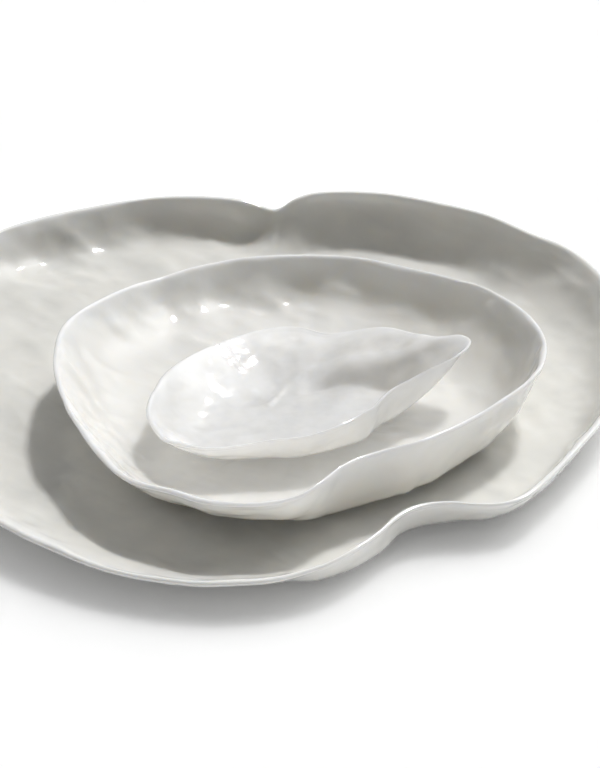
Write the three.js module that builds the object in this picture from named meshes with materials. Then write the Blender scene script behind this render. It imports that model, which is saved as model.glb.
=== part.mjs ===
// Nested set of three hand-formed porcelain plates: a dinner plate, a dessert plate and a small leaf dish.
// Each plate is one casting with its own foot ring. The smaller plates stand free in the larger ones.
// Millimetres and degrees, +Z up. The origin is on the table, below the middle of the set.

import * as THREE from "three";
import { mergeVertices } from "three/addons/utils/BufferGeometryUtils.js";

// Clearance between a foot and the glaze that it stands on
const SEAT_GAP = 0.3;

// Dinner plate
const DINNER_RADIUS = 148;
const DINNER_HEIGHT = 18;
const DINNER_WALL = 3.2;
const DINNER_FOOT_HEIGHT = 2;
const DINNER_FOOT_WIDTH = 5;
const DINNER_FOOT_INSET = 14;
const DINNER_CURL = 2;
const DINNER_PITCH = 12;

// Dessert plate, and its place on the floor of the dinner plate
const DESSERT_RADIUS = 96;
const DESSERT_HEIGHT = 27;
const DESSERT_WALL = 3;
const DESSERT_FOOT_HEIGHT = 2;
const DESSERT_FOOT_WIDTH = 4;
const DESSERT_FOOT_INSET = 8;
const DESSERT_CURL = 2;
const DESSERT_PITCH = 11;
const DESSERT_X = 10;
const DESSERT_Y = -28;

// Small leaf dish, and its place on the floor of the dessert plate
const DISH_RADIUS = 49;
const DISH_HEIGHT = 18;
const DISH_WALL = 2.2;
const DISH_FOOT_HEIGHT = 1.6;
const DISH_FOOT_WIDTH = 3;
const DISH_FOOT_INSET = 5;
const DISH_CURL = 2.2;
const DISH_PITCH = 9;
const DISH_X = -4;
const DISH_Y = -5;

// Each rim is a closed curve through stations chosen by eye, counter-clockwise from the right (+X).
// A station is its angle, how far it lies outside the nominal radius, how far it stands above the
// nominal height, and the level distance over which the wall climbs from the floor to it. A fifth number
// is a curl of its own, and a sixth is how far the wall flares out again below the rim, from 0 to 1.
const DINNER_RIM = [
  [0, -3, 4, 22],
  [16, 4, 5, 26],
  [31, 8, 6, 26],
  [38, 7, 7, 23],
  [42, 4, 7, 21],
  [51, 4, 8, 18],
  [61, 0, 9, 15],
  [71, -3, 10, 14],
  [79, -7, 10, 14],
  [84, -9, 9, 16],
  [87, -11, 7, 19],
  // The cleft between the two back lobes
  [89.5, -10, 1, 25],
  [91.5, -5, 0, 31, 3],
  [95, -4, 3, 35, 5.5],
  [100, -1, 4, 37, 6.5],
  [109, 6, 4, 41, 7],
  [121, 12, 3, 44, 7],
  [135, 18, 3, 47, 7],
  [150, 20, 2, 48, 6],
  [165, 18, 2, 47, 5],
  [181, 13, 1, 45, 3.5],
  [198, 7, -1, 43, 2.4],
  [215, 4, -2, 42],
  [232, 3, -3, 41],
  [248, 5, -4, 42],
  [262, 4, -4, 38],
  [270, 1, -4, 26],
  // The wave in the front wall
  [279, -7, -3, 11],
  [287, -18, -2, 7],
  [293, -27, -1, 6],
  [298, -30, -1, 6],
  [303, -27, -1, 8],
  [308, -19, -2, 13],
  [314, -12, -2, 15],
  [323, -14, -1, 11],
  [336, -13, 0, 12],
  [349, -8, 2, 16],
];

const DESSERT_RIM = [
  [0, 1, 4, 22],
  [12, 4, 4, 28],
  [24, 4, 4, 31],
  [35, 3, 3, 32, 2.4],
  [44, 6, 0, 36, 3.2],
  [50, 5, -1, 38, 3.8],
  [61, 6, -3, 42, 4.8],
  [77, 13, -6, 50, 6.5],
  [90, 12, -6, 50, 6.5],
  [104, 12, -6, 50, 6.5],
  [121, 10, -6, 48, 5.5],
  [138, 8, -4, 44, 4],
  [156, 7, -2, 38, 2.6],
  [170, 2, -1, 33],
  [182, -1, 0, 30],
  [194, -3, 0, 28],
  [206, -3, -1, 28],
  [219, 1, -1, 32],
  [229, 5, -1, 36],
  [236, 6, -1, 37],
  [242, 4, -1, 35],
  [251, 6, -1, 36],
  [262, 2, -1, 33],
  [270, -4, -1, 25],
  // The wave in the front wall
  [276, -12, 0, 16],
  [281, -20, 0, 9],
  [288, -25, 0, 6],
  [297, -26, 0, 5],
  [309, -23, 1, 5],
  [322, -20, 1, 6],
  [335, -15, 2, 9],
  [346, -8, 3, 13],
  [354, -2, 4, 18],
];

const DISH_RIM = [
  [2, 6, 5, 13],
  [8, 18, 7, 22, 2, 0.3],
  [13, 25, 8, 27, 2, 0.6],
  // The tip of the spout
  [17, 28, 8, 29, 2, 0.9],
  [21, 26, 8, 28, 2, 0.9],
  [25, 18, 6, 25, 2, 0.95],
  [35, 14, 3, 27, 1.8, 0.95],
  [48, 12, 1, 32, 1.6, 0.85],
  [57, 10, -2, 36, 1.5, 0.6],
  [65, 8, -5, 38, 1.4, 0.3],
  [73, 5, -6, 38, 1.4, 0.2],
  [83, 7, -5, 40, 1.4, 0.2],
  [94, 7, -5, 40, 1.4, 0.1],
  [105, 5, -5, 38, 1.4],
  [119, 2, -5, 35, 1.4],
  [135, 0, -4, 32, 1.5],
  [155, 0, -3, 30, 1.7],
  [174, 1, -1, 27, 2],
  [190, 5, -1, 24],
  [201, 9, -1, 26],
  [214, 12, -1, 28],
  [222, 14, -1, 29],
  [228, 11, -1, 27],
  [238, 5, -2, 23],
  [250, -4, -2, 18],
  [262, -8, -1, 15],
  [280, -10, -1, 12],
  [298, -11, 0, 10],
  [315, -12, 0, 7],
  // The kink below the spout
  [325, -11, 1, 6],
  [329, -10, 1, 6],
  [335, -10, 2, 6],
  [345, -8, 3, 7],
  [354, -2, 4, 9],
];

// Shares of the way across the floor, and of the way up the wall, at which a section has a point
const RECESS_SHARES = [0, 0.5];
const OUTER_WALL_SHARES = [0, 0.3, 0.6, 0.8, 0.93, 1];
const LIP_TURNS = [135, 90, 45];
const INNER_WALL_SHARES = [1, 0.95, 0.88, 0.77, 0.61, 0.42, 0.22, 0];
const FLOOR_SHARES = [0.75, 0.4, 0];

// A flared wall does most of its climb near the floor: the lower this power, the nearer.
const FLARE_POWER = 0.6;

const glaze = {
  dinner: new THREE.MeshStandardMaterial({ color: 0xebeae4, roughness: 0.16, metalness: 0 }),
  dessert: new THREE.MeshStandardMaterial({ color: 0xefeee9, roughness: 0.16, metalness: 0 }),
  dish: new THREE.MeshStandardMaterial({ color: 0xf2f1ed, roughness: 0.16, metalness: 0 }),
};

function polar(angle, reach, height) {
  const turn = THREE.MathUtils.degToRad(angle);
  return new THREE.Vector3(reach * Math.cos(turn), reach * Math.sin(turn), height);
}

// The rim and the edge of the floor are closed curves that share their stations.
// Every station is a column of the mesh, and wider stretches are divided to keep the pitch.
function columnsOf(plate) {
  const rimPoints = plate.rim.map(([angle, out, up]) => polar(angle, plate.radius + out, plate.height + up));
  const edgePoints = plate.rim.map(([angle, out, , run]) => polar(angle, plate.radius + out - run, plate.floor));
  const rimCurve = new THREE.CatmullRomCurve3(rimPoints, true);
  const edgeCurve = new THREE.CatmullRomCurve3(edgePoints, true);
  const count = plate.rim.length;
  const columns = [];
  for (let station = 0; station < count; station += 1) {
    const stretch = rimPoints[station].distanceTo(rimPoints[(station + 1) % count]);
    const parts = Math.ceil(stretch / plate.pitch);
    for (let part = 0; part < parts; part += 1) {
      const share = part / parts;
      const along = (station + share) / count;
      const [here, next] = [plate.rim[station], plate.rim[(station + 1) % count]];
      const [, , , , hereCurl = plate.curl, hereFlare = 0] = here;
      const [, , , , nextCurl = plate.curl, nextFlare = 0] = next;
      columns.push({
        rim: rimCurve.getPoint(along),
        edge: edgeCurve.getPoint(along),
        curl: THREE.MathUtils.lerp(hereCurl, nextCurl, share),
        flare: THREE.MathUtils.lerp(hereFlare, nextFlare, share),
      });
    }
  }
  return columns;
}

// The closed section of a plate at one column, from the recess inside the foot over the rim to the floor
function sectionOf(plate, { rim, edge, curl, flare }) {
  const out = new THREE.Vector3(rim.x - edge.x, rim.y - edge.y, 0);
  const run = out.length();
  out.normalize();
  const rise = rim.z - plate.floor;

  // A point on the inner skin, moved along the wall and down through its thickness.
  // A curled wall steepens up to its rim, and a flared one runs level again there.
  function onWall(share, along, depth) {
    const early = share ** FLARE_POWER;
    const flareSteepness = 6 * FLARE_POWER * (1 - early) * share ** (2 * FLARE_POWER - 1);
    const climb = (1 - flare) * share ** curl + flare * early ** 2 * (3 - 2 * early);
    const steepness = (1 - flare) * curl * share ** (curl - 1) + flare * flareSteepness;
    const slope = Math.atan((rise * steepness) / run);
    const level = run * share + along * Math.cos(slope) + depth * Math.sin(slope);
    const height = plate.floor + rise * climb + along * Math.sin(slope) - depth * Math.cos(slope);
    return new THREE.Vector3(edge.x, edge.y, 0).addScaledVector(out, level).setZ(height);
  }

  // A point on a level ring at a share of the way from the middle to a given reach
  function onFloor(share, reach, height) {
    const around = new THREE.Vector3(edge.x, edge.y, 0).setLength(reach * share);
    return around.setZ(height);
  }

  const lip = plate.wall / 2;
  const edgeReach = Math.hypot(edge.x, edge.y);
  const footOutside = edgeReach - plate.footInset;
  const footInside = footOutside - plate.footWidth;
  const underside = plate.footHeight;

  const points = RECESS_SHARES.map((share) => onFloor(share, footInside, underside));
  points.push(onFloor(1, footInside, underside));
  points.push(onFloor(1, footInside, 0));
  points.push(onFloor(1, footOutside, 0));
  points.push(onFloor(1, footOutside, underside));
  for (const share of OUTER_WALL_SHARES) {
    points.push(onWall(share, 0, plate.wall));
  }
  for (const angle of LIP_TURNS) {
    const turn = THREE.MathUtils.degToRad(angle);
    points.push(onWall(1, lip * Math.sin(turn), lip * (1 - Math.cos(turn))));
  }
  for (const share of INNER_WALL_SHARES) {
    points.push(onWall(share, 0, 0));
  }
  for (const share of FLOOR_SHARES) {
    points.push(onFloor(share, edgeReach, plate.floor));
  }
  return points;
}

// A round blank is turned on the lathe, and its columns are then pressed into the plate's own sections.
function pressPlate(plate) {
  const columns = columnsOf(plate);
  const sections = columns.map((column) => sectionOf(plate, column));
  const profile = sections[0].map((point) => new THREE.Vector2(Math.hypot(point.x, point.y), point.z));
  const blank = new THREE.LatheGeometry(profile, columns.length);
  const position = blank.attributes.position;
  for (let vertex = 0; vertex < position.count; vertex += 1) {
    const column = Math.floor(vertex / profile.length) % columns.length;
    const point = sections[column][vertex % profile.length];
    position.setXYZ(vertex, point.x, point.y, point.z);
  }
  blank.deleteAttribute("normal");
  blank.deleteAttribute("uv");
  const pressed = mergeVertices(blank);
  pressed.computeVertexNormals();
  const mesh = new THREE.Mesh(pressed, plate.glaze);
  mesh.name = plate.name;
  return mesh;
}

const dinner = {
  name: "dinner_plate",
  radius: DINNER_RADIUS,
  height: DINNER_HEIGHT,
  wall: DINNER_WALL,
  footHeight: DINNER_FOOT_HEIGHT,
  footWidth: DINNER_FOOT_WIDTH,
  footInset: DINNER_FOOT_INSET,
  floor: DINNER_FOOT_HEIGHT + DINNER_WALL,
  curl: DINNER_CURL,
  pitch: DINNER_PITCH,
  rim: DINNER_RIM,
  glaze: glaze.dinner,
};

const dessert = {
  name: "dessert_plate",
  radius: DESSERT_RADIUS,
  height: DESSERT_HEIGHT,
  wall: DESSERT_WALL,
  footHeight: DESSERT_FOOT_HEIGHT,
  footWidth: DESSERT_FOOT_WIDTH,
  footInset: DESSERT_FOOT_INSET,
  floor: DESSERT_FOOT_HEIGHT + DESSERT_WALL,
  curl: DESSERT_CURL,
  pitch: DESSERT_PITCH,
  rim: DESSERT_RIM,
  glaze: glaze.dessert,
};

const dish = {
  name: "small_dish",
  radius: DISH_RADIUS,
  height: DISH_HEIGHT,
  wall: DISH_WALL,
  footHeight: DISH_FOOT_HEIGHT,
  footWidth: DISH_FOOT_WIDTH,
  footInset: DISH_FOOT_INSET,
  floor: DISH_FOOT_HEIGHT + DISH_WALL,
  curl: DISH_CURL,
  pitch: DISH_PITCH,
  rim: DISH_RIM,
  glaze: glaze.dish,
};

// Each plate stands on the floor of the one below it.
const dinnerPlate = pressPlate(dinner);
const dessertPlate = pressPlate(dessert);
const smallDish = pressPlate(dish);
dessertPlate.position.set(DESSERT_X, DESSERT_Y, dinner.floor + SEAT_GAP);
smallDish.position.set(DISH_X, DISH_Y, dessert.floor + SEAT_GAP).add(dessertPlate.position);

const plateSet = new THREE.Group();
plateSet.add(dinnerPlate, dessertPlate, smallDish);

// The table below the middle of the set becomes the origin.
const middle = new THREE.Box3().setFromObject(plateSet, true).getCenter(new THREE.Vector3());
plateSet.position.set(-middle.x, -middle.y, 0);

export default plateSet;
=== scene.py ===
# %% [markdown]
# # Three hand-pressed porcelain plates
#
# The set is a dinner plate, a dessert plate that stands in it, and a small leaf-shaped dish that stands
# in the dessert plate. Each one is pressed from a slab of porcelain clay by hand, so nothing on it is
# quite round or quite flat, and then it is covered with a clear, glossy glaze.
#
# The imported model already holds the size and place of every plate, so this lesson starts by loading it.
# A plate could be drawn again from scratch, but then it would have to be fitted to its solid afterwards.

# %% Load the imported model
import math

import bmesh
import bpy
from mathutils import Matrix, Vector, noise
from mathutils.geometry import intersect_point_line


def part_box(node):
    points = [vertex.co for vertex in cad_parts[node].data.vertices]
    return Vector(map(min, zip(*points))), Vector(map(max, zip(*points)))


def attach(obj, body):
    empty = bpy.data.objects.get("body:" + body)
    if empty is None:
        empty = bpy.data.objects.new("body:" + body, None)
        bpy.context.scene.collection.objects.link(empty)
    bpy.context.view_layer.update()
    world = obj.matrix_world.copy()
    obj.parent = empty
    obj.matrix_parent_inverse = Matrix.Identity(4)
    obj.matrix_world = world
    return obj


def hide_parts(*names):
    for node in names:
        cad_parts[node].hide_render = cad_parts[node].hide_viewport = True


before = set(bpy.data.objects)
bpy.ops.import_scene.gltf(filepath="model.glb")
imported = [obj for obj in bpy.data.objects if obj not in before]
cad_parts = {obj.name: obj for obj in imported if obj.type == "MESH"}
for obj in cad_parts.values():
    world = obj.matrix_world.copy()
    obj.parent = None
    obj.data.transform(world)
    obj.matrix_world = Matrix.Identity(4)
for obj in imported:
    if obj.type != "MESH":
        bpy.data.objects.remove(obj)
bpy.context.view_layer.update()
MM = 0.001
print("plates in the frame:", sorted(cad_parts))

# %% [markdown]
# ## The camera
#
# The set is seen from the front and from 30 degrees above the table, with a long lens, so that the far
# rim is hardly smaller than the near one. A camera is easiest to place by the point that it looks at,
# its distance and its height angle, because these three can be read from a picture one at a time.

# %% Place the camera
LOOK_AT = Vector((18.7, -15.9, 20)) * MM
CAMERA_DISTANCE = 1150 * MM
CAMERA_ELEVATION = math.radians(30)
CAMERA_LENS = 133.4

camera_data = bpy.data.cameras.new("studio_camera")
camera_data.lens = CAMERA_LENS
camera = bpy.data.objects.new("studio_camera", camera_data)
bpy.context.scene.collection.objects.link(camera)
towards_camera = Vector((0, -math.cos(CAMERA_ELEVATION), math.sin(CAMERA_ELEVATION)))
camera.location = LOOK_AT + towards_camera * CAMERA_DISTANCE
camera.rotation_euler = (-towards_camera).to_track_quat("-Z", "Y").to_euler()
bpy.context.scene.camera = camera
print("camera stands", round(camera.location.z, 3), "m above the table")

# %% [markdown]
# ## From loose triangles to a ring mesh
#
# A plate's solid is a turned blank: rings of points that run from the middle of the floor, up the inner
# wall, over the lip, down the outer wall and under the foot. It arrives as loose triangles. A subdivision
# surface gives a smooth skin only on four-sided faces, so the copy is merged, its rings are counted from
# the middle of the floor, and the slanting edge inside each pair of triangles is dissolved. In the middle
# of the floor the triangles meet in a star that would show in the gloss, so it becomes one face that is
# inset a few times.

# %% Count the rings and join the triangles
MERGE_DISTANCE = 0.002 * MM
LAST_RING = 25
MIDDLE_SHARES = (4 / 5, 3 / 4, 2 / 3, 1 / 2)
MIDDLE_INSETS = len(MIDDLE_SHARES)


def merged_copy(node):
    """A mesh with the node's own points, each of them once, and room for the marks that they get later."""
    mesh = bmesh.new()
    mesh.from_mesh(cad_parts[node].data)
    bmesh.ops.remove_doubles(mesh, verts=mesh.verts, dist=MERGE_DISTANCE)
    mesh.verts.layers.float.new("press")
    mesh.verts.layers.float.new("thin")
    mesh.edges.layers.float.new("crease_edge")
    return mesh


def floor_pole(mesh):
    """The point in the middle of the floor, where the triangles meet."""
    poles = sorted(mesh.verts, key=lambda vert: len(vert.link_edges))[-2:]
    return max(poles, key=lambda vert: vert.co.z)


def inset_middle(mesh):
    """Turns the star of triangles in the middle of the floor into narrow rings."""
    pole = floor_pole(mesh)
    middle = pole.co.copy()
    bmesh.ops.dissolve_verts(mesh, verts=[pole])
    disc = max(mesh.faces, key=lambda face: len(face.verts))
    for share in MIDDLE_SHARES:
        bmesh.ops.inset_individual(mesh, faces=[disc], thickness=0)
        bmesh.ops.scale(mesh, verts=disc.verts, vec=(share, share, 1), space=Matrix.Translation(-middle))
    centre = bmesh.ops.poke(mesh, faces=[disc])["verts"][0]
    centre.co = middle


def count_rings(mesh):
    """The number of each point's ring: 0 in the middle of the floor, LAST_RING under the middle."""
    middle = floor_pole(mesh)
    rings = {middle: 0}
    newest = [middle]
    while newest:
        reached = []
        for vert in newest:
            for edge in vert.link_edges:
                other = edge.other_vert(vert)
                if other not in rings:
                    rings[other] = rings[vert] + 1
                    reached.append(other)
        newest = reached
    return {vert: max(ring - MIDDLE_INSETS, 0) for vert, ring in rings.items()}


def slanting_edges(mesh, rings):
    """The edge across each pair of triangles, once: it leaves the second of two points on one ring."""
    slanting = []
    for loop in (loop for face in mesh.faces if len(face.verts) == 3 for loop in face.loops):
        after = loop.link_loop_next
        tip = after.link_loop_next.vert
        if rings[loop.vert] == rings[after.vert] and rings[tip] not in (0, LAST_RING):
            slanting.append(after.edge)
    return list(dict.fromkeys(slanting))


def ring_mesh(node):
    """The node's solid with four-sided faces, and the ring of each point."""
    mesh = merged_copy(node)
    inset_middle(mesh)
    rings = count_rings(mesh)
    bmesh.ops.dissolve_edges(mesh, edges=slanting_edges(mesh, rings), use_verts=False)
    return mesh, rings


for name in sorted(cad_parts):
    trial, trial_rings = ring_mesh(name)
    sides = [len(face.verts) for face in trial.faces]
    print(name, "has", sides.count(4), "four-sided faces in", max(trial_rings.values()) + 1, "rings")
    trial.free()

# %% [markdown]
# ## Where the potter's hand moves the clay
#
# Two marks are stored on the points before the skin is made smooth. `press` says how far a point follows
# a dent in the clay: the inside moves out and in along its own normal, the outside moves the other way
# so that the wall keeps its thickness, and the lip and the ground face of the foot stay where they are.
# `thin` grows towards the lip, where the clay is pinched thin. It could be read from the height, but the
# rims are not level, so it is stored ring by ring. The glaze also lightens the lip by it, which is partly
# painted glow of the backlit lip.

# %% Mark the rings
FLOOR_EDGE_RING = 3
LIP_RING = 12
FOOT_RINGS = (21, 22)
PRESS_BY_RING = {10: 0.8, 11: 0.4, 12: 0, 13: -0.4, 14: -0.8, 20: -0.4, 21: 0, 22: 0, 23: -0.4}
# How thin the wall grows towards the lip. The glaze also lightens the lip by it, partly as painted glow.
THIN_BY_RING = {7: 0.1, 8: 0.4, 9: 0.7, 10: 0.9, 11: 1, 12: 1, 13: 1, 14: 0.9, 15: 0.7, 16: 0.3, 17: 0.1}
FLOOR_RING_WIDTH = 9 * MM
FOOT_CREASE = 0.85


def mark_rings(mesh, rings):
    """Stores how each point follows the dents, how thin its wall is, and where the foot is bare."""
    press = mesh.verts.layers.float["press"]
    thin = mesh.verts.layers.float["thin"]
    for vert, ring in rings.items():
        side = 1 if ring < LIP_RING else -1
        vert[press] = PRESS_BY_RING.get(ring, side)
        vert[thin] = THIN_BY_RING.get(ring, 0)
    crease = mesh.edges.layers.float["crease_edge"]
    for edge in mesh.edges:
        ends = [rings[vert] for vert in edge.verts]
        if ends[0] == ends[1] and ends[0] in FOOT_RINGS:
            edge[crease] = FOOT_CREASE
    for face in mesh.faces:
        bare = all(rings[vert] in FOOT_RINGS for vert in face.verts)
        face.material_index = 1 if bare else 0
        face.smooth = True


def add_floor_rings(mesh, rings):
    """Divides the wide rings of the floor, so that it can hold dents as small as those of the wall."""
    spokes = []
    for edge in mesh.edges:
        inner, outer = sorted(rings[vert] for vert in edge.verts)
        if inner > 0 and inner < outer <= FLOOR_EDGE_RING:
            spokes.append(edge)
    longest = max(edge.calc_length() for edge in spokes)
    bmesh.ops.subdivide_edges(mesh, edges=spokes, cuts=math.ceil(longest / FLOOR_RING_WIDTH) - 1)


print("rings that keep their place:", [ring for ring, press in PRESS_BY_RING.items() if press == 0])

# %% [markdown]
# ## The smooth skin
#
# A subdivision surface rounds the lip and the bends of the wall as wet clay does. The modifier is
# evaluated at once and its result becomes the mesh, because the dents are then pressed into the fine
# points. Its two levels are the same in the viewport and in the render.

# %% Smooth a plate
SKIN_LEVELS = 2


def smooth_skin(node):
    """A fine, smooth mesh of the node's plate, with its marks."""
    coarse, rings = ring_mesh(node)
    mark_rings(coarse, rings)
    add_floor_rings(coarse, rings)
    data = bpy.data.meshes.new(node + "_blank")
    coarse.to_mesh(data)
    coarse.free()
    blank = bpy.data.objects.new(node + "_blank", data)
    bpy.context.scene.collection.objects.link(blank)
    skin = blank.modifiers.new("skin", "SUBSURF")
    skin.levels = SKIN_LEVELS
    skin.render_levels = SKIN_LEVELS
    finished = bpy.data.meshes.new_from_object(blank.evaluated_get(bpy.context.evaluated_depsgraph_get()))
    bpy.data.objects.remove(blank)
    bpy.data.meshes.remove(data)
    return finished


print("skin levels:", SKIN_LEVELS)

# %% [markdown]
# ## Prints, hollows, drags and presses
#
# Pressed clay shows finger prints with ridges between them, broad hollows from the palm, and drag marks
# that run from the middle towards the rim. The prints are cells of noise, longer along a grain than
# across it, and the hollows are smooth noise at three sizes. A drag mark is noise that is long outwards
# and short around, so it reads the direction around the plate instead of the place. A few folds in the
# clay and presses of the thumb have places of their own, and the outer side tapers towards the lip.
# A bump in the material would change only the gloss, so these are real moves of the mesh. Part of the
# noise depends on a seed, which is set once, so that every run gives the same plates.
#
# Where a plate carries another one, its floor is kept from rising, so that the foot still stands clear.

# %% Press a plate
SEAT_RISE = 0.1 * MM
SEAT_FADE = 12 * MM
FREE_RISE = 1 * MM
GROUND_DEPTH = 0.05 * MM
DRAG_REACH = 60 * MM
DRAG_START = 12 * MM
DRAG_FULL = 40 * MM
LIP_TAPER = 1.1 * MM
PRINT_STRETCH = 0.62
PRINT_BEND = 0.35
PRINT_MIDDLE = 0.3
NOISE_SEED = 7

noise.seed_set(NOISE_SEED)


def smooth_step(low, high, value):
    share = min(max((value - low) / (high - low), 0), 1)
    return share * share * (3 - 2 * share)


def foot_of(node):
    """The middle and the reach of the ring that a plate stands on."""
    points = [vert.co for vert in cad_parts[node].data.vertices]
    lowest = min(point.z for point in points)
    ground = [point for point in points if point.z < lowest + GROUND_DEPTH]
    middle = sum(ground, Vector()) / len(ground)
    return middle, max((point - middle).length for point in ground)


def finger_print(point, size, grain):
    """A field of shallow finger prints with ridges between them, longer along the grain than across it."""
    stretched = (point - grain * point.dot(grain) * PRINT_STRETCH) / size
    bent = stretched + noise.noise_vector(stretched) * PRINT_BEND
    nearest = noise.voronoi(bent)[0][0]
    return nearest * nearest - PRINT_MIDDLE


def dent_at(point, middle, marks):
    """How far the skin moves at a point: out of the clay is positive."""
    depth = 0
    for size, height in marks["prints"]:
        depth += height * finger_print(point, size, marks["grain"])
    for size, height in marks["hollows"]:
        depth += height * noise.noise(point / size + marks["start"])
    outward = point - middle
    around = Vector((outward.x, outward.y, 0)).normalized() * DRAG_REACH
    strength = smooth_step(DRAG_START, DRAG_FULL, outward.length)
    for width, length, height in marks["drags"]:
        way = around / width
        way.z = outward.length / length
        depth += strength * height * noise.noise(way + marks["start"])
    return depth


def crease_at(point, crease):
    """How far a fold in the clay lifts the skin at a point, seen from above."""
    path = [Vector(corner) * MM for corner in crease["path"]]
    here = point.to_2d()
    away = math.inf
    for start, end in zip(path, path[1:]):
        share = intersect_point_line(here, start, end)[1]
        nearest = start.lerp(end, min(max(share, 0), 1))
        away = min(away, (here - nearest).length)
    return crease["height"] * math.exp(-((away / crease["width"]) ** 2))


def press_plate(mesh, node, marks, carries):
    """Moves the fine points of a plate's skin, and keeps them inside the box of its solid."""
    lowest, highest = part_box(node)
    middle = foot_of(node)[0]
    seat, seat_reach = foot_of(carries) if carries else (middle, 0)
    press = mesh.attributes["press"].data
    thin = mesh.attributes["thin"].data
    normals = [normal.vector.copy() for normal in mesh.vertex_normals]
    for vert in mesh.vertices:
        depth = dent_at(vert.co, middle, marks)
        if carries:
            away = Vector((vert.co.x - seat.x, vert.co.y - seat.y)).length
            free = smooth_step(seat_reach, seat_reach + SEAT_FADE, away)
            depth = min(depth, SEAT_RISE + free * FREE_RISE)
        share = press[vert.index].value
        if share < 0:
            depth += LIP_TAPER * thin[vert.index].value
        if share > 0:
            depth += sum(crease_at(vert.co, crease) for crease in marks["creases"])
        moved = vert.co + normals[vert.index] * depth * share
        for thumb in marks["thumbs"]:
            reach = (vert.co - thumb["at"]).length / thumb["reach"]
            if reach < 1:
                moved += thumb["push"] * (1 - reach * reach) ** 2
        for axis in range(3):
            moved[axis] = min(max(moved[axis], lowest[axis]), highest[axis])
        vert.co = moved


def thumb_presses(places, reach, depth):
    """Marks of a thumb that pushes the clay down at some places, or lifts it where the depth is negative."""
    push = Vector((0, 0, -depth))
    return [{"at": Vector(place) * MM, "reach": reach, "push": push} for place in places]


DINNER_BACK_WALL = [(-93, 118, 10), (-71, 131, 10), (-49, 137, 9.5), (-27, 138, 9.5)]
DESSERT_BACK_WALL = [(-37, 58, 19), (-12, 69, 16), (19, 73, 15), (53, 63, 17.5), (80, 46, 21)]
DISH_FLANK = [(34, -3, 18), (42, -6, 19), (50, -8, 20.5), (58, -10, 22), (66, -12, 25)]
MARKS = {
    "dinner_plate": {
        "start": Vector((3.1, 7.4, 1.2)),
        "grain": Vector((0.71, -0.71, 0)),
        "prints": [(15 * MM, 1.1 * MM), (7 * MM, 0.45 * MM)],
        "hollows": [(62 * MM, 1.6 * MM), (24 * MM, 0.9 * MM), (10 * MM, 0.3 * MM)],
        "drags": [(9 * MM, 46 * MM, 0.5 * MM), (4 * MM, 30 * MM, 0.15 * MM)],
        "creases": [{"path": [(-84, 130), (-74, 127)], "width": 3 * MM, "height": 0.6 * MM}],
        "thumbs": [
            *thumb_presses(DINNER_BACK_WALL, 18 * MM, 2 * MM),
            *thumb_presses([(-7, 139, 10)], 16 * MM, 4 * MM),
        ],
    },
    "dessert_plate": {
        "start": Vector((11.7, 2.3, 5.8)),
        "grain": Vector((0.87, -0.5, 0)),
        "prints": [(13 * MM, 1 * MM), (6.5 * MM, 0.4 * MM)],
        "hollows": [(48 * MM, 1.4 * MM), (20 * MM, 0.8 * MM), (8 * MM, 0.22 * MM)],
        "drags": [(8 * MM, 34 * MM, 0.55 * MM), (4 * MM, 26 * MM, 0.15 * MM)],
        "creases": [
            {"path": [(112.5, -1), (107.5, -7), (104.5, -18)], "width": 1.6 * MM, "height": 0.4 * MM},
        ],
        "thumbs": [
            *thumb_presses(DESSERT_BACK_WALL, 17 * MM, 2 * MM),
            *thumb_presses([(4, 63, 11)], 9 * MM, 0.9 * MM),
        ],
    },
    "small_dish": {
        "start": Vector((6.2, 14.9, 9.5)),
        "grain": Vector((0.94, 0.34, 0)),
        "prints": [(11 * MM, 0.6 * MM), (5 * MM, 0.15 * MM)],
        "hollows": [(34 * MM, 1.1 * MM), (15 * MM, 0.6 * MM), (6 * MM, 0.16 * MM)],
        "drags": [(10 * MM, 26 * MM, 0.12 * MM)],
        "creases": [
            {"path": [(-13.5, 11), (-10.5, 5.5), (-5.5, -1)], "width": 1 * MM, "height": 0.35 * MM},
            {"path": [(-17, 2), (-16.5, -6.5), (-15.5, -14)], "width": 0.9 * MM, "height": 0.25 * MM},
            {"path": [(6, -23.5), (12, -12), (18.5, -3), (23.5, 1)], "width": 1.6 * MM, "height": 0.5 * MM},
            {"path": [(-4, 3), (4, 12), (15, 18.5)], "width": 1.2 * MM, "height": 0.3 * MM},
        ],
        "thumbs": [
            *thumb_presses(DISH_FLANK, 13 * MM, -1.6 * MM),
            *thumb_presses([(50, 4, 28.5), (60, 1, 30.5)], 8 * MM, 1 * MM),
            *thumb_presses([(40, -14, 15.5), (52, -17, 17)], 12 * MM, -1 * MM),
            *thumb_presses([(-38, -33, 27)], 5 * MM, 0.8 * MM),
        ],
    },
}
print("marks for", len(MARKS), "plates")

# %% [markdown]
# ## The glaze
#
# Clear glaze lies thicker in the hollows and thinner over the lip, so its colour and its gloss change a
# little from place to place. The lighter colour towards the lip is partly that thinner glaze and partly
# painted glow, the light that a backlit lip gives off. All three plates share this, so it is one node group
# with named inputs and outputs, placed in each material with its own values. It puts out a colour, a
# roughness and the height of the slow ripples that a fired glaze keeps.

# %% Build the glaze group
def new_node(tree, kind, **values):
    """A node with some of its settings, and with its inputs set by name."""
    node = tree.nodes.new(kind)
    for name, value in values.items():
        if name in node.inputs:
            node.inputs[name].default_value = value
        else:
            setattr(node, name, value)
    return node


POOL_EDGES = (0.35, 0.7)


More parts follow.
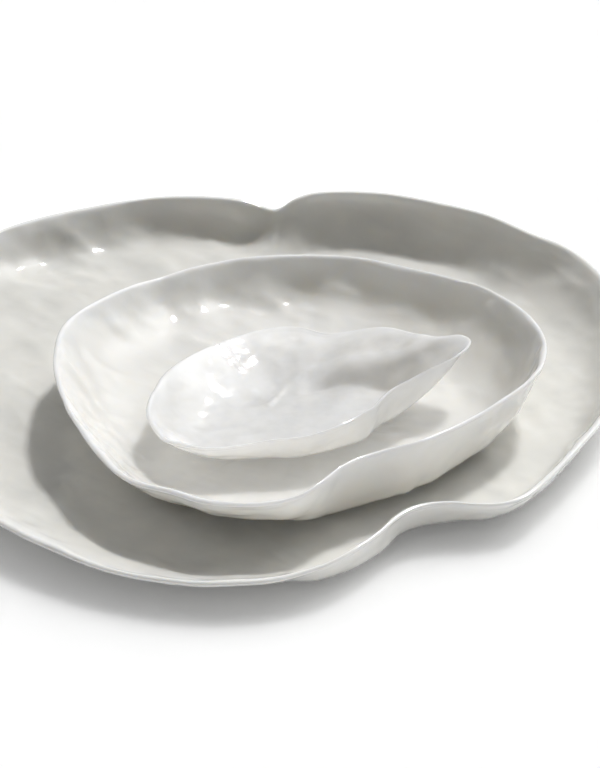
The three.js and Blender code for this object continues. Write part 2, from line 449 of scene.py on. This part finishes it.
def build_glaze_group():
    tree = bpy.data.node_groups.new("pooled_glaze", "ShaderNodeTree")
    for name, kind in (
        ("Body Colour", "NodeSocketColor"),
        ("Pooled Colour", "NodeSocketColor"),
        ("Thin Glaze And Glow Colour", "NodeSocketColor"),
        ("Pool Scale", "NodeSocketFloat"),
        ("Ripple Scale", "NodeSocketFloat"),
        ("Gloss Low", "NodeSocketFloat"),
        ("Gloss High", "NodeSocketFloat"),
    ):
        tree.interface.new_socket(name, in_out="INPUT", socket_type=kind)
    for name, kind in (
        ("Colour", "NodeSocketColor"),
        ("Roughness", "NodeSocketFloat"),
        ("Height", "NodeSocketFloat"),
    ):
        tree.interface.new_socket(name, in_out="OUTPUT", socket_type=kind)
    given = tree.nodes.new("NodeGroupInput")
    made = tree.nodes.new("NodeGroupOutput")
    place = tree.nodes.new("ShaderNodeTexCoord")
    link = tree.links.new

    pools = new_node(tree, "ShaderNodeTexNoise", Detail=3, Roughness=0.55)
    link(place.outputs["Object"], pools.inputs["Vector"])
    link(given.outputs["Pool Scale"], pools.inputs["Scale"])
    pool_share = new_node(tree, "ShaderNodeMapRange", interpolation_type="SMOOTHSTEP")
    pool_share.inputs["From Min"].default_value = POOL_EDGES[0]
    pool_share.inputs["From Max"].default_value = POOL_EDGES[1]
    link(pools.outputs["Fac"], pool_share.inputs["Value"])
    pooled = new_node(tree, "ShaderNodeMix", data_type="RGBA")
    link(pool_share.outputs["Result"], pooled.inputs["Factor"])
    link(given.outputs["Body Colour"], pooled.inputs["A"])
    link(given.outputs["Pooled Colour"], pooled.inputs["B"])
    # Lighter towards the lip: thinner glaze there, and partly painted glow of the backlit lip.
    thin = new_node(tree, "ShaderNodeAttribute", attribute_name="thin")
    colour = new_node(tree, "ShaderNodeMix", data_type="RGBA")
    link(thin.outputs["Fac"], colour.inputs["Factor"])
    link(pooled.outputs["Result"], colour.inputs["A"])
    link(given.outputs["Thin Glaze And Glow Colour"], colour.inputs["B"])
    link(colour.outputs["Result"], made.inputs["Colour"])

    gloss = new_node(tree, "ShaderNodeMapRange")
    link(pools.outputs["Fac"], gloss.inputs["Value"])
    link(given.outputs["Gloss Low"], gloss.inputs["To Min"])
    link(given.outputs["Gloss High"], gloss.inputs["To Max"])
    link(gloss.outputs["Result"], made.inputs["Roughness"])

    ripples = new_node(tree, "ShaderNodeTexNoise", Detail=2, Roughness=0.45)
    link(place.outputs["Object"], ripples.inputs["Vector"])
    link(given.outputs["Ripple Scale"], ripples.inputs["Scale"])
    link(ripples.outputs["Fac"], made.inputs["Height"])
    return tree


glaze_group = build_glaze_group()
print("glaze group has", len(glaze_group.nodes), "nodes")

# %% [markdown]
# ## Porcelain under the glaze
#
# Fired porcelain lets light through: with the lamp behind the set, the near walls glow because the light
# that falls on their inner face comes out of the outer one. A plain diffuse colour would leave those
# walls grey, so the body scatters light below the surface over a few millimetres, about the thickness of
# a wall. The gloss is left to the shader's own reflection.
#
# That scattering doesn't reach a shadow: the floor behind a wall looks for the lamp along a straight
# shadow ray, and finds the wall closed. The two thinner plates therefore let a shadow ray pass each face
# with part of its light, which makes their shadows paler. Every other ray sees closed porcelain.

# %% Make the glazed materials
SCATTER_RADIUS = (1, 0.94, 0.84)
GLAZE_IOR = 1.52
RIPPLE_STRENGTH = 0.35
RIPPLE_HEIGHT = 0.2 * MM
GLOSS = (0.05, 0.13)


def pale_shadow(tree, body, share):
    """Lets a shadow ray pass each face with a share of its light."""
    paths = tree.nodes.new("ShaderNodeLightPath")
    passed = new_node(tree, "ShaderNodeMath", operation="MULTIPLY")
    passed.inputs[1].default_value = share
    clear = tree.nodes.new("ShaderNodeBsdfTransparent")
    seen = tree.nodes.new("ShaderNodeMixShader")
    tree.links.new(paths.outputs["Is Shadow Ray"], passed.inputs[0])
    tree.links.new(passed.outputs["Value"], seen.inputs["Fac"])
    tree.links.new(body.outputs["BSDF"], seen.inputs[1])
    tree.links.new(clear.outputs["BSDF"], seen.inputs[2])
    tree.links.new(seen.outputs["Shader"], tree.nodes["Material Output"].inputs["Surface"])


def glazed_porcelain(name, look):
    """Porcelain that scatters light, under the shared glaze."""
    material = bpy.data.materials.new(name)
    material.use_nodes = True
    tree = material.node_tree
    body = tree.nodes["Principled BSDF"]
    body.inputs["IOR"].default_value = GLAZE_IOR
    body.inputs["Subsurface Weight"].default_value = look["scatter"]
    body.inputs["Subsurface Radius"].default_value = SCATTER_RADIUS
    body.inputs["Subsurface Scale"].default_value = look["scatter_depth"]
    glaze = tree.nodes.new("ShaderNodeGroup")
    glaze.node_tree = glaze_group
    for socket, value in look["glaze"].items():
        glaze.inputs[socket].default_value = value
    ripple = new_node(tree, "ShaderNodeBump", Strength=RIPPLE_STRENGTH, Distance=RIPPLE_HEIGHT)
    tree.links.new(glaze.outputs["Colour"], body.inputs["Base Color"])
    tree.links.new(glaze.outputs["Roughness"], body.inputs["Roughness"])
    tree.links.new(glaze.outputs["Height"], ripple.inputs["Height"])
    tree.links.new(ripple.outputs["Normal"], body.inputs["Normal"])
    if "lets_through" in look:
        pale_shadow(tree, body, look["lets_through"])
    return material


def glaze_values(body, pooled, thin, pool_size, ripple_size):
    """The inputs of the glaze group, with pattern sizes in metres."""
    return {
        "Body Colour": (*body, 1),
        "Pooled Colour": (*pooled, 1),
        # The thin colour is partly thinner glaze and partly painted glow of the backlit lip.
        "Thin Glaze And Glow Colour": (*thin, 1),
        "Pool Scale": 1 / pool_size,
        "Ripple Scale": 1 / ripple_size,
        "Gloss Low": GLOSS[0],
        "Gloss High": GLOSS[1],
    }


# Each thin colour is lighter than its body colour: thinner glaze at the lip, and painted glow of the backlit
# lip.
LOOKS = {
    "dinner_plate": {
        "scatter": 0.6,
        "scatter_depth": 1.5 * MM,
        "glaze": glaze_values(
            body=(0.83, 0.82, 0.78),
            pooled=(0.76, 0.755, 0.72),
            thin=(0.9, 0.9, 0.885),
            pool_size=30 * MM,
            ripple_size=7 * MM,
        ),
    },
    "dessert_plate": {
        "scatter": 0.8,
        "scatter_depth": 2.5 * MM,
        "lets_through": 0.2,
        "glaze": glaze_values(
            body=(0.85, 0.84, 0.81),
            pooled=(0.83, 0.82, 0.79),
            thin=(0.93, 0.93, 0.915),
            pool_size=24 * MM,
            ripple_size=6 * MM,
        ),
    },
    "small_dish": {
        "scatter": 1,
        "scatter_depth": 5 * MM,
        "lets_through": 0.58,
        "glaze": glaze_values(
            body=(0.87, 0.86, 0.84),
            pooled=(0.76, 0.755, 0.74),
            thin=(0.93, 0.93, 0.915),
            pool_size=18 * MM,
            ripple_size=5 * MM,
        ),
    },
}
print("glazes for", len(LOOKS), "plates")

# %% [markdown]
# ## The bare foot
#
# A glazed plate would stick to the kiln shelf, so the ring that it stands on is wiped clean before the
# firing. It is matt and a little warmer than the glaze, with a fine sandy grain.

# %% Make the bare porcelain
SAND_SIZE = 0.6 * MM
SAND_HEIGHT = 0.1 * MM
BARE_ROUGHNESS = 0.8
BARE_COLOURS = ((0.8, 0.775, 0.72, 1), (0.88, 0.865, 0.83, 1))


def bare_porcelain():
    """Matt, unglazed porcelain with a sandy grain."""
    material = bpy.data.materials.new("bare_foot")
    material.use_nodes = True
    tree = material.node_tree
    body = tree.nodes["Principled BSDF"]
    body.inputs["Roughness"].default_value = BARE_ROUGHNESS
    place = tree.nodes.new("ShaderNodeTexCoord")
    grain = new_node(tree, "ShaderNodeTexNoise", Scale=1 / SAND_SIZE, Detail=4, Roughness=0.7)
    tint = new_node(tree, "ShaderNodeMix", data_type="RGBA")
    tint.inputs["A"].default_value = BARE_COLOURS[0]
    tint.inputs["B"].default_value = BARE_COLOURS[1]
    rough = new_node(tree, "ShaderNodeBump", Strength=0.5, Distance=SAND_HEIGHT)
    tree.links.new(place.outputs["Object"], grain.inputs["Vector"])
    tree.links.new(grain.outputs["Fac"], tint.inputs["Factor"])
    tree.links.new(tint.outputs["Result"], body.inputs["Base Color"])
    tree.links.new(grain.outputs["Fac"], rough.inputs["Height"])
    tree.links.new(rough.outputs["Normal"], body.inputs["Normal"])
    return material


bare_foot = bare_porcelain()
print("bare foot material:", bare_foot.name)

# %% [markdown]
# ## The three plates
#
# Each plate is its smooth skin, pressed, with the glaze on every face but the ground face of the foot.
# It stands for its solid, which is hidden, rides on the body of the same name, and gets a glaze material of
# its own, named with the given slot name.

# %% Make the plates
def make_plate(node, slot, carries):
    """One pressed and glazed plate, in the place of its solid."""
    mesh = smooth_skin(node)
    press_plate(mesh, node, MARKS[node], carries)
    mesh.materials.clear()
    mesh.materials.append(glazed_porcelain(slot + "_glaze", LOOKS[node]))
    mesh.materials.append(bare_foot)
    mesh.name = node + "_pressed"
    plate = bpy.data.objects.new(node + "_pressed", mesh)
    bpy.context.scene.collection.objects.link(plate)
    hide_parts(node)
    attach(plate, node)
    triangles = sum(len(polygon.vertices) - 2 for polygon in mesh.polygons)
    print(plate.name, "has", triangles, "triangles")
    return plate


make_plate("dinner_plate", "dinner_porcelain", carries="dessert_plate")
make_plate("dessert_plate", "dessert_porcelain", carries="small_dish")
make_plate("small_dish", "dish_porcelain", carries=None)

# %% [markdown]
# ## The table
#
# A white table top under studio light. It is wide enough to fill the picture from every side, so the
# background is the table's own colour. Light spreads below its surface, which softens the edge of the
# set's shadow. The table is lifted a little towards white, but only for the camera and for reflections,
# because a brighter lamp would also bleach the porcelain.

# %% Lay the table
TABLE_HALF = 8
TABLE_COLOUR = (0.97, 0.97, 0.97, 1)
TABLE_ROUGHNESS = 0.9
TABLE_LIFT = 0.08
TABLE_SPREAD = 45 * MM


def lifted_white():
    """White that spreads light below its surface, with a lift that lights nothing else."""
    material = bpy.data.materials.new("table_white")
    material.use_nodes = True
    tree = material.node_tree
    body = tree.nodes["Principled BSDF"]
    body.subsurface_method = "BURLEY"
    body.inputs["Base Color"].default_value = TABLE_COLOUR
    body.inputs["Roughness"].default_value = TABLE_ROUGHNESS
    body.inputs["Subsurface Weight"].default_value = 1
    body.inputs["Subsurface Radius"].default_value = (1, 1, 1)
    body.inputs["Subsurface Scale"].default_value = TABLE_SPREAD
    body.inputs["Specular IOR Level"].default_value = 0
    paths = tree.nodes.new("ShaderNodeLightPath")
    seen_by = paths.outputs["Is Camera Ray"]
    for other_ray in ("Is Glossy Ray", "Is Transmission Ray"):
        either = new_node(tree, "ShaderNodeMath", operation="MAXIMUM")
        tree.links.new(seen_by, either.inputs[0])
        tree.links.new(paths.outputs[other_ray], either.inputs[1])
        seen_by = either.outputs["Value"]
    lift_level = new_node(tree, "ShaderNodeMath", operation="MULTIPLY")
    lift_level.inputs[1].default_value = TABLE_LIFT
    lift = new_node(tree, "ShaderNodeEmission")
    both = tree.nodes.new("ShaderNodeAddShader")
    tree.links.new(seen_by, lift_level.inputs[0])
    tree.links.new(lift_level.outputs["Value"], lift.inputs["Strength"])
    tree.links.new(body.outputs["BSDF"], both.inputs[0])
    tree.links.new(lift.outputs["Emission"], both.inputs[1])
    tree.links.new(both.outputs["Shader"], tree.nodes["Material Output"].inputs["Surface"])
    return material


table_mesh = bmesh.new()
bmesh.ops.create_grid(table_mesh, x_segments=1, y_segments=1, size=TABLE_HALF)
table_data = bpy.data.meshes.new("table_top")
table_mesh.to_mesh(table_data)
table_mesh.free()
table_data.materials.append(lifted_white())
table = bpy.data.objects.new("table_top", table_data)
bpy.context.scene.collection.objects.link(table)
print("table is", 2 * TABLE_HALF, "m wide")

# %% [markdown]
# ## The light
#
# A small lamp stands behind the set and to the right, so the near walls glow, the shadows fall to the
# front left and small glints lie in the glaze. A large softbox round the lamp makes the shadows softer.
# A weaker softbox at the left and a low, wide card in front open them a little, and the rest of the
# studio is dim, which leaves the far inner walls grey. Area lamps would light the table unevenly, so the
# lamp is a sun and the softboxes are bright patches of the world, at an endless distance. Their edges
# are feathered, so that each one is only a soft sheen in the glaze.

# %% Light the set
ROOM_STRENGTH = 0.1
KEY = {"turn": 32, "elevation": 55, "strength": 1.9, "width": math.radians(7)}
SOFTBOXES = (
    {"turn": 42, "elevation": 44, "reach": (0.65, 0.65, 1), "strength": 3.6},
    {"turn": -68, "elevation": 38, "reach": (0.5, 0.5, 1), "strength": 1.2},
    {"turn": 150, "elevation": 5, "reach": (0.9, 0.2, 1), "strength": 2},
)


def towards(lamp):
    """The direction in which a lamp stands, from its turn to the right of the back and its elevation."""
    turn = math.radians(lamp["turn"])
    elevation = math.radians(lamp["elevation"])
    level = math.cos(elevation)
    return Vector((math.sin(turn) * level, math.cos(turn) * level, math.sin(elevation)))


def add_key_lamp():
    """The small lamp behind the set."""
    data = bpy.data.lights.new("key_lamp", "SUN")
    data.energy = KEY["strength"]
    data.angle = KEY["width"]
    lamp = bpy.data.objects.new("key_lamp", data)
    lamp.rotation_euler = towards(KEY).to_track_quat("Z", "Y").to_euler()
    bpy.context.scene.collection.objects.link(lamp)


def add_softbox(sky, direction, softbox):
    """The light of one softbox in each direction of the sky, brightest in its middle."""
    middle = towards(softbox)
    frame_of_box = new_node(sky, "ShaderNodeMapping", vector_type="TEXTURE")
    frame_of_box.inputs["Location"].default_value = middle
    frame_of_box.inputs["Rotation"].default_value = middle.to_track_quat("Z", "Y").to_euler()
    frame_of_box.inputs["Scale"].default_value = softbox["reach"]
    away = new_node(sky, "ShaderNodeVectorMath", operation="LENGTH")
    level = new_node(sky, "ShaderNodeMapRange", interpolation_type="SMOOTHSTEP")
    level.inputs["From Min"].default_value = 1
    level.inputs["From Max"].default_value = 0
    level.inputs["To Max"].default_value = softbox["strength"]
    sky.links.new(direction, frame_of_box.inputs["Vector"])
    sky.links.new(frame_of_box.outputs["Vector"], away.inputs[0])
    sky.links.new(away.outputs["Value"], level.inputs["Value"])
    return level.outputs["Result"]


def build_studio():
    """The world: a dim room with the softboxes as bright patches."""
    world = bpy.data.worlds.new("studio")
    world.use_nodes = True
    sky = world.node_tree
    background = sky.nodes["Background"]
    background.inputs["Color"].default_value = (1, 1, 1, 1)
    facing = sky.nodes.new("ShaderNodeTexCoord")
    so_far = None
    for softbox in SOFTBOXES:
        total = new_node(sky, "ShaderNodeMath", operation="ADD")
        total.inputs[1].default_value = ROOM_STRENGTH
        sky.links.new(add_softbox(sky, facing.outputs["Generated"], softbox), total.inputs[0])
        if so_far:
            sky.links.new(so_far, total.inputs[1])
        so_far = total.outputs["Value"]
    sky.links.new(so_far, background.inputs["Strength"])
    return world


add_key_lamp()
bpy.context.scene.world = build_studio()
bpy.context.scene.view_settings.view_transform = "Standard"
print("softboxes:", len(SOFTBOXES), "and room", ROOM_STRENGTH)
